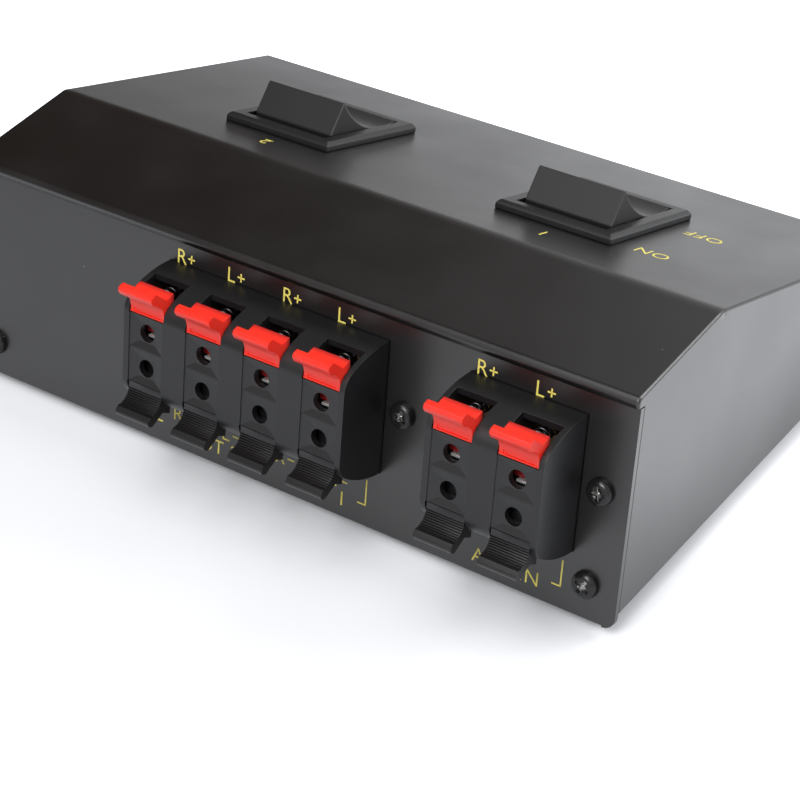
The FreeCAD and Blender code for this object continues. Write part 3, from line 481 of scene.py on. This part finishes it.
def stroke(name, start, end, origin, right, up, out):
    """A straight printed line between two places on a surface."""
    low = [min(a, b) - LINE_WIDTH / 2 for a, b in zip(start, end)]
    high = [max(a, b) + LINE_WIDTH / 2 for a, b in zip(start, end)]
    bpy.ops.object.select_all(action="DESELECT")
    bpy.ops.mesh.primitive_cube_add(
        size=1.0,
        location=((low[0] + high[0]) / 2, (low[1] + high[1]) / 2, INK_THICK),
        scale=(high[0] - low[0], high[1] - low[1], INK_THICK),
    )
    return lay_ink(bpy.context.object, name, origin, right, up, out)


panel = (panel_foot, panel_right, panel_up, panel_out)
for i, letter_edge in enumerate(LETTER_PLACES, 1):
    side = "R" if i % 2 else "L"
    words("plus_letter_%d" % i, side, (letter_edge + PLUS_LETTER, PLUS_UP), CAPITAL, *panel)
    if i <= MINUS_COLUMNS:
        words("minus_letter_%d" % i, side, (letter_edge + MINUS_LETTER, MINUS_UP), CAPITAL, *panel)
        middle = letter_edge + MINUS_SIGN
        left_end, right_end = (middle - SIGN_HALF, MINUS_UP), (middle + SIGN_HALF, MINUS_UP)
        stroke("minus_bar_%d" % i, left_end, right_end, *panel)
    middle = letter_edge + PLUS_SIGN
    left_end, right_end = (middle - SIGN_HALF, PLUS_UP), (middle + SIGN_HALF, PLUS_UP)
    stroke("plus_bar_%d" % i, left_end, right_end, *panel)
    low_end, high_end = (middle, PLUS_UP - SIGN_HALF), (middle, PLUS_UP + SIGN_HALF)
    stroke("plus_post_%d" % i, low_end, high_end, *panel)
for i, (name, left, right, middle) in enumerate(SOCKETS, 1):
    words("socket_name_%d" % i, name, (middle, NAME_UP), CAPITAL, *panel)
    for side, corner, inward in (("left", left, 1), ("right", right, -1)):
        foot, top = (corner, BRACKET_FOOT), (corner, BRACKET_TOP)
        inner = (corner + inward * BRACKET_REACH, BRACKET_FOOT)
        stroke("bracket_foot_%d_%s" % (i, side), foot, inner, *panel)
        stroke("bracket_end_%d_%s" % (i, side), foot, top, *panel)


# ---- Printed marks on the control surface ----
# Switch numbers, and ON and OFF beside the first switch, screen-printed in the same yellow.
# They are read from the front of the case.
SWITCHES = (1, 2)
SLOPE = math.radians(19.85)
PIVOT_DEPTH = 0.0025
SWITCH_CAPITAL = 0.0030
# Places on the slope, to the right of the switch's middle and up from it
NUMBER_PLACE = (-0.0015, 0.0205)
ON_PLACE = (-0.0200, 0.0120)
OFF_PLACE = (-0.0205, -0.0068)
slope_up = Vector((0.0, math.cos(SLOPE), math.sin(SLOPE)))
slope_out = Vector((0.0, -math.sin(SLOPE), math.cos(SLOPE)))
slope_right = Vector((1.0, 0.0, 0.0))
for number in SWITCHES:
    pivot = Vector(joints["switch_%d_rocker_tilt" % number]["pos_m"])
    surface = (pivot + PIVOT_DEPTH * slope_out, slope_right, slope_up, slope_out)
    words("switch_number_%d" % number, str(number), NUMBER_PLACE, SWITCH_CAPITAL, *surface)
    if number == 1:
        words("switch_on_mark", "ON", ON_PLACE, SWITCH_CAPITAL, *surface)
        words("switch_off_mark", "OFF", OFF_PLACE, SWITCH_CAPITAL, *surface)


# ---- Terminal blocks ----
# Black moulded housings with a fine mould texture, screwed to the panel by their ears. A brown
# fibre plate closes each rear, and tin-plated strips stand behind the wire holes.
BLOCKS = ("speaker", "amplifier")
# A housing's corners get wide rounds, and the creases round its funnels narrow ones
CORNER_ROUND, CORNER_STEPS, CORNER_SHARPNESS = 0.0003, 3, 60
CREASE_ROUND, CREASE_SHARPNESS = 0.00015, 9.2
PLATE_EDGE = 0.0001
STRIP_EDGE = 0.00006

block_plastic = finish(
    "block_plastic", (0.0060, 0.0062, 0.0072), roughness=0.42, grain_size=0.00022,
    grain_depth=0.000006, dust=0.03, ior=1.5,
)
fibre = finish(
    "fibre_plate", (0.30, 0.18, 0.09), roughness=0.8, grain_size=0.0005, grain_depth=0.00002
)
tin = finish(
    "tinned_brass", (0.92, 0.92, 0.90), roughness=0.24, grain_size=0.0006,
    grain_depth=0.000002, dust=0.0, metallic=0.72,
)
for block in BLOCKS:
    housing = nodes[block + "_block_housing"]
    give(housing, block_plastic)
    ease_edges(housing, CORNER_ROUND, CORNER_STEPS, CORNER_SHARPNESS)
    ease_edges(housing, CREASE_ROUND, sharper_than=CREASE_SHARPNESS)
    give(nodes[block + "_block_plate"], fibre)
    ease_edges(nodes[block + "_block_plate"], PLATE_EDGE)
    give(nodes[block + "_contacts"], tin)
    ease_edges(nodes[block + "_contacts"], STRIP_EDGE)


# ---- Push levers ----
# Glossy red levers over the upper holes, and black ones with ribbed fingers under the lower.
# Each is one moulding, and turns on two stubs in the housing's walls.
COLUMNS = range(1, 7)
RED_EDGE, BLACK_EDGE = 0.00014, 0.00002
# The red arm is painted darker inside the block, a painted shade of the block's front wall, up to a distance out
# from the panel
ARM_OUT, ARM_FADE = 0.0095, 0.0015
ARM_SHADE = (0.22, 0.012, 0.016, 1.0)
# Red light travels furthest in the red plastic
RED_DEPTH = 0.0010
RED_SPREAD = (1.0, 0.12, 0.06)
RED_TRANSLUCENCY = 0.5

red_plastic = finish(
    "red_lever_plastic", (0.92, 0.034, 0.018), roughness=0.36, grain_size=0.0003,
    grain_depth=0.000004, dust=0.0, ior=1.5,
)
tree = red_plastic.node_tree
red_shader = tree.nodes["Principled BSDF"]
outward = along(tree, tree.nodes.new("ShaderNodeTexCoord").outputs["Object"], panel_out)
arm_out = panel_foot.dot(panel_out) + ARM_OUT
painted_shade_ramp = ramp(tree, outward, arm_out, arm_out + ARM_FADE)
open_red = red_shader.inputs["Base Color"].links[0].from_socket
# Painted shade: inside the block the red gives way to a dark red
shaded_red = blend(tree, painted_shade_ramp, ARM_SHADE, open_red)
tree.links.new(shaded_red, red_shader.inputs["Base Color"])
red_shader.inputs["Subsurface Weight"].default_value = RED_TRANSLUCENCY
red_shader.inputs["Subsurface Radius"].default_value = RED_SPREAD
red_shader.inputs["Subsurface Scale"].default_value = RED_DEPTH
black_plastic = finish(
    "black_lever_plastic", (0.006, 0.006, 0.007), roughness=0.36, grain_size=0.0003,
    grain_depth=0.000004, dust=0.03,
)
for i in COLUMNS:
    for colour, material, width in (
        ("red", red_plastic, RED_EDGE), ("black", black_plastic, BLACK_EDGE),
    ):
        lever = nodes["%s_lever_%d" % (colour, i)]
        give(lever, material)
        ease_edges(lever, width)


# ---- Lever springs ----
# Coils of dark spring wire with flat end turns, pressed between each lever's back and the
# fibre plate.
COIL_RADIUS = 0.00118
WIRE_RADIUS = 0.00022
WIRE_SIDES = 8
TURNS = 8
TURN_STEPS = 20
# What is left of a spring's length when its lever is fully pushed
SPRING_BACK = -0.0035
SPRING_LENGTH = 0.01234
# How far a spring lies above or below the block's middle
SPRING_RISE = 0.00975

wire = finish(
    "oiled_spring_wire", (0.06, 0.06, 0.062), roughness=0.28, grain_size=0.0004,
    grain_depth=0.000003, dust=0.0, metallic=1.0,
)


def helix(name, radius, thickness, height, turns, sides):
    """A coil of round or three-sided section that stands on the origin along Z."""
    bpy.ops.object.select_all(action="DESELECT")
    bpy.ops.mesh.primitive_circle_add(
        vertices=sides, radius=thickness, location=(radius, 0, thickness),
        rotation=(math.pi / 2, 0, 0),
    )
    bpy.ops.object.transform_apply(location=True, rotation=True, scale=True)
    piece = bpy.context.object
    piece.name = name
    screw = piece.modifiers.new("turns", "SCREW")
    screw.axis = "Z"
    screw.steps = screw.render_steps = TURN_STEPS
    screw.iterations = turns
    screw.screw_offset = (height - 2 * thickness) / turns
    bpy.ops.object.modifier_apply(modifier="turns")
    return piece


def merge(pieces):
    """Joins pieces into the first one."""
    pick(pieces[0])
    for piece in pieces[1:]:
        piece.select_set(True)
    bpy.ops.object.join()
    return pieces[0]


def copy_at(pattern, name, move):
    """A copy of a finished piece with its own mesh, carried on the case."""
    piece = pattern.copy()
    piece.data = pattern.data.copy()
    piece.name = name
    bpy.context.scene.collection.objects.link(piece)
    piece.data.transform(move)
    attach(piece, "case")
    return piece


parts = [helix("spring_pattern", COIL_RADIUS, WIRE_RADIUS, SPRING_LENGTH, TURNS, WIRE_SIDES)]
for height in (WIRE_RADIUS, SPRING_LENGTH - WIRE_RADIUS):
    bpy.ops.object.select_all(action="DESELECT")
    bpy.ops.mesh.primitive_torus_add(
        location=(0, 0, height), major_radius=COIL_RADIUS, minor_radius=WIRE_RADIUS,
        major_segments=TURN_STEPS, minor_segments=WIRE_SIDES,
    )
    bpy.ops.object.transform_apply(location=True, rotation=True, scale=True)
    parts.append(bpy.context.object)
pattern = merge(parts)
bpy.ops.object.shade_smooth()
give(pattern, wire)
out_of_panel = Matrix((panel_right, panel_up, panel_out)).transposed().to_4x4()
for i in COLUMNS:
    for colour, side in (("red", 1), ("black", -1)):
        seat = panel_foot + SPRING_BACK * panel_out + (BLOCK_UP + side * SPRING_RISE) * panel_up
        seat.x = mounts["red_wire_hole_%d" % i]["pos_m"][0]
        name = "%s_coil_%d" % (colour, i)
        spring = copy_at(pattern, name, Matrix.Translation(seat) @ out_of_panel)
        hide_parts("%s_spring_%d" % (colour, i))
        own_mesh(spring)
bpy.data.objects.remove(pattern)


# ---- Screws ----
# Steel pan-head screws with a cross recess and a black finish, worn bright round the recess.
# Four hold the blocks' ears, two the panel's lower corners, and two the tray's front.
HEAD_RADIUS = 0.0026
HEAD_HEIGHT = 0.0016
HEAD_ROUND = 0.0012
HEAD_SIDES = 40
HEAD_STEPS = 6
# The cross recess: its length, its arms' width and depth, and its middle's radius and depth
RECESS_LENGTH, RECESS_WIDTH, RECESS_DEPTH = 0.0030, 0.00070, 0.0009
MIDDLE_RADIUS, MIDDLE_DEPTH = 0.00085, 0.0013
MIDDLE_SIDES = 16
TOOL_PROUD = 0.00001
RECESS_EDGE, RECESS_SHARPNESS = 0.00006, 40
# Faces this far below the head's top are bare steel
RIM = 0.0001
SHANK_RADIUS = 0.00118
SHANK_LENGTH = 0.0070
SHANK_SIDES = 20
THREAD = 0.00022
THREAD_TURNS = 9
THREAD_SIDES = 3
NECK = 0.001
SMOOTH_BELOW = 35
# Across the case and up the panel, and how far each head is turned
SCREW_UP = {"block": BLOCK_UP, "cover": 0.0071}
SCREW_ACROSS = {"block": (0.0299, -0.0299, -0.0392, -0.0718), "cover": (0.0710, -0.0710)}
FIRST_TURN, NEXT_TURN = 0.4, 1.9
# The two under the tray's front
UNDER_ACROSS = (0.0300, -0.0300)
UNDER_Y, UNDER_Z = -0.05006, 0.0020
UNDER_TURN = 0.7

screw_finish = finish(
    "black_plating", (0.022, 0.022, 0.023), roughness=0.24, grain_size=0.0003,
    grain_depth=0.000004, dust=0.25, metallic=0.6,
)
bare_steel = finish(
    "bare_steel", (0.30, 0.30, 0.29), roughness=0.22, grain_size=0.0003,
    grain_depth=0.000006, dust=0.0, metallic=1.0,
)


def cut_out(piece, tool):
    """Takes a tool's shape out of a piece."""
    pick(piece)
    cut = piece.modifiers.new("cut", "BOOLEAN")
    cut.object = tool
    cut.solver = "EXACT"
    bpy.ops.object.modifier_apply(modifier="cut")
    bpy.data.objects.remove(tool)


bpy.ops.object.select_all(action="DESELECT")
bpy.ops.mesh.primitive_cylinder_add(
    vertices=HEAD_SIDES, radius=HEAD_RADIUS, depth=HEAD_HEIGHT, location=(0, 0, HEAD_HEIGHT / 2)
)
head = bpy.context.object
bpy.ops.object.transform_apply(location=True, rotation=True, scale=True)
crown = head.modifiers.new("crown", "BEVEL")
crown.width = HEAD_ROUND
crown.segments = HEAD_STEPS
crown.limit_method = "WEIGHT"
weights = head.data.attributes.new("bevel_weight_edge", "FLOAT", "EDGE")
for edge in head.data.edges:
    if all(head.data.vertices[v].co.z > HEAD_HEIGHT / 2 for v in edge.vertices):
        weights.data[edge.index].value = 1.0
bpy.ops.object.modifier_apply(modifier="crown")
for quarter in (0.0, math.pi / 2):
    bpy.ops.object.select_all(action="DESELECT")
    bpy.ops.mesh.primitive_cube_add(
        size=1.0, location=(0, 0, HEAD_HEIGHT), rotation=(0, 0, quarter),
        scale=(RECESS_LENGTH, RECESS_WIDTH, 2 * RECESS_DEPTH),
    )
    cut_out(head, bpy.context.object)
bpy.ops.object.select_all(action="DESELECT")
bpy.ops.mesh.primitive_cone_add(
    vertices=MIDDLE_SIDES, radius1=0.0, radius2=MIDDLE_RADIUS, depth=MIDDLE_DEPTH,
    location=(0, 0, HEAD_HEIGHT - MIDDLE_DEPTH / 2 + TOOL_PROUD),
)
cut_out(head, bpy.context.object)
ease = head.modifiers.new("ease", "BEVEL")
ease.width = RECESS_EDGE
ease.segments = 2
ease.limit_method = "ANGLE"
ease.angle_limit = math.radians(RECESS_SHARPNESS)
pick(head)
bpy.ops.object.modifier_apply(modifier="ease")
bpy.ops.object.select_all(action="DESELECT")
bpy.ops.mesh.primitive_cylinder_add(
    vertices=SHANK_SIDES, radius=SHANK_RADIUS, depth=SHANK_LENGTH,
    location=(0, 0, -SHANK_LENGTH / 2),
)
bpy.ops.object.transform_apply(location=True, rotation=True, scale=True)
shank = bpy.context.object
thread = helix("thread", SHANK_RADIUS, THREAD, SHANK_LENGTH - NECK, THREAD_TURNS, THREAD_SIDES)
thread.data.transform(Matrix.Translation((0, 0, -SHANK_LENGTH)))
pattern = merge([head, shank, thread])
bpy.ops.object.shade_smooth_by_angle(angle=math.radians(SMOOTH_BELOW))
pattern.data.materials.append(screw_finish)
pattern.data.materials.append(bare_steel)
for face in pattern.data.polygons:
    near = math.hypot(face.center.x, face.center.y) < RECESS_LENGTH / 2
    deep = 0 < face.center.z < HEAD_HEIGHT - RIM
    face.material_index = 1 if near and deep else 0
for group in ("block", "cover"):
    for i, across in enumerate(SCREW_ACROSS[group], 1):
        place = panel_foot + SCREW_UP[group] * panel_up
        place.x = across
        turned = Matrix.Rotation(FIRST_TURN + NEXT_TURN * i, 4, "Z")
        move = Matrix.Translation(place) @ out_of_panel @ turned
        screw = copy_at(pattern, "%s_screw_%d" % (group, i), move)
        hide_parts(group + "_screws")
for i, across in enumerate(UNDER_ACROSS, 3):
    downward = Matrix.Rotation(math.pi, 4, "X")
    turned = Matrix.Rotation(UNDER_TURN * i, 4, "Z")
    move = Matrix.Translation((across, UNDER_Y, UNDER_Z)) @ downward @ turned
    screw = copy_at(pattern, "cover_screw_%d" % i, move)
    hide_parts("cover_screws")
bpy.data.objects.remove(pattern)


# ---- Rocker switches ----
# Snap-in housings with a sloping bezel, and a rocker with a hollow between its two ridges.
# Barbs hold each housing under the sheet, and tinned seesaw blades stand on its tags.
HOUSING_EDGE = 0.0002
ROCKER_EDGE, ROCKER_STEPS = 0.0003, 3

switch_plastic = finish(
    "switch_plastic", (0.006, 0.006, 0.0062), roughness=0.42, grain_size=0.00035,
    grain_depth=0.000008, dust=0.03,
)
rocker_plastic = finish(
    "rocker_plastic", (0.007, 0.007, 0.0074), roughness=0.48, grain_size=0.00035,
    grain_depth=0.000008, dust=0.03,
)
for number in SWITCHES:
    start = "switch_%d_" % number
    give(nodes[start + "housing"], switch_plastic)
    ease_edges(nodes[start + "housing"], HOUSING_EDGE)
    give(nodes[start + "rocker"], rocker_plastic)
    ease_edges(nodes[start + "rocker"], ROCKER_EDGE, ROCKER_STEPS)
    for name in ("seesaws", "tags"):
        give(nodes[start + name], tin)
        ease_edges(nodes[start + name], STRIP_EDGE)
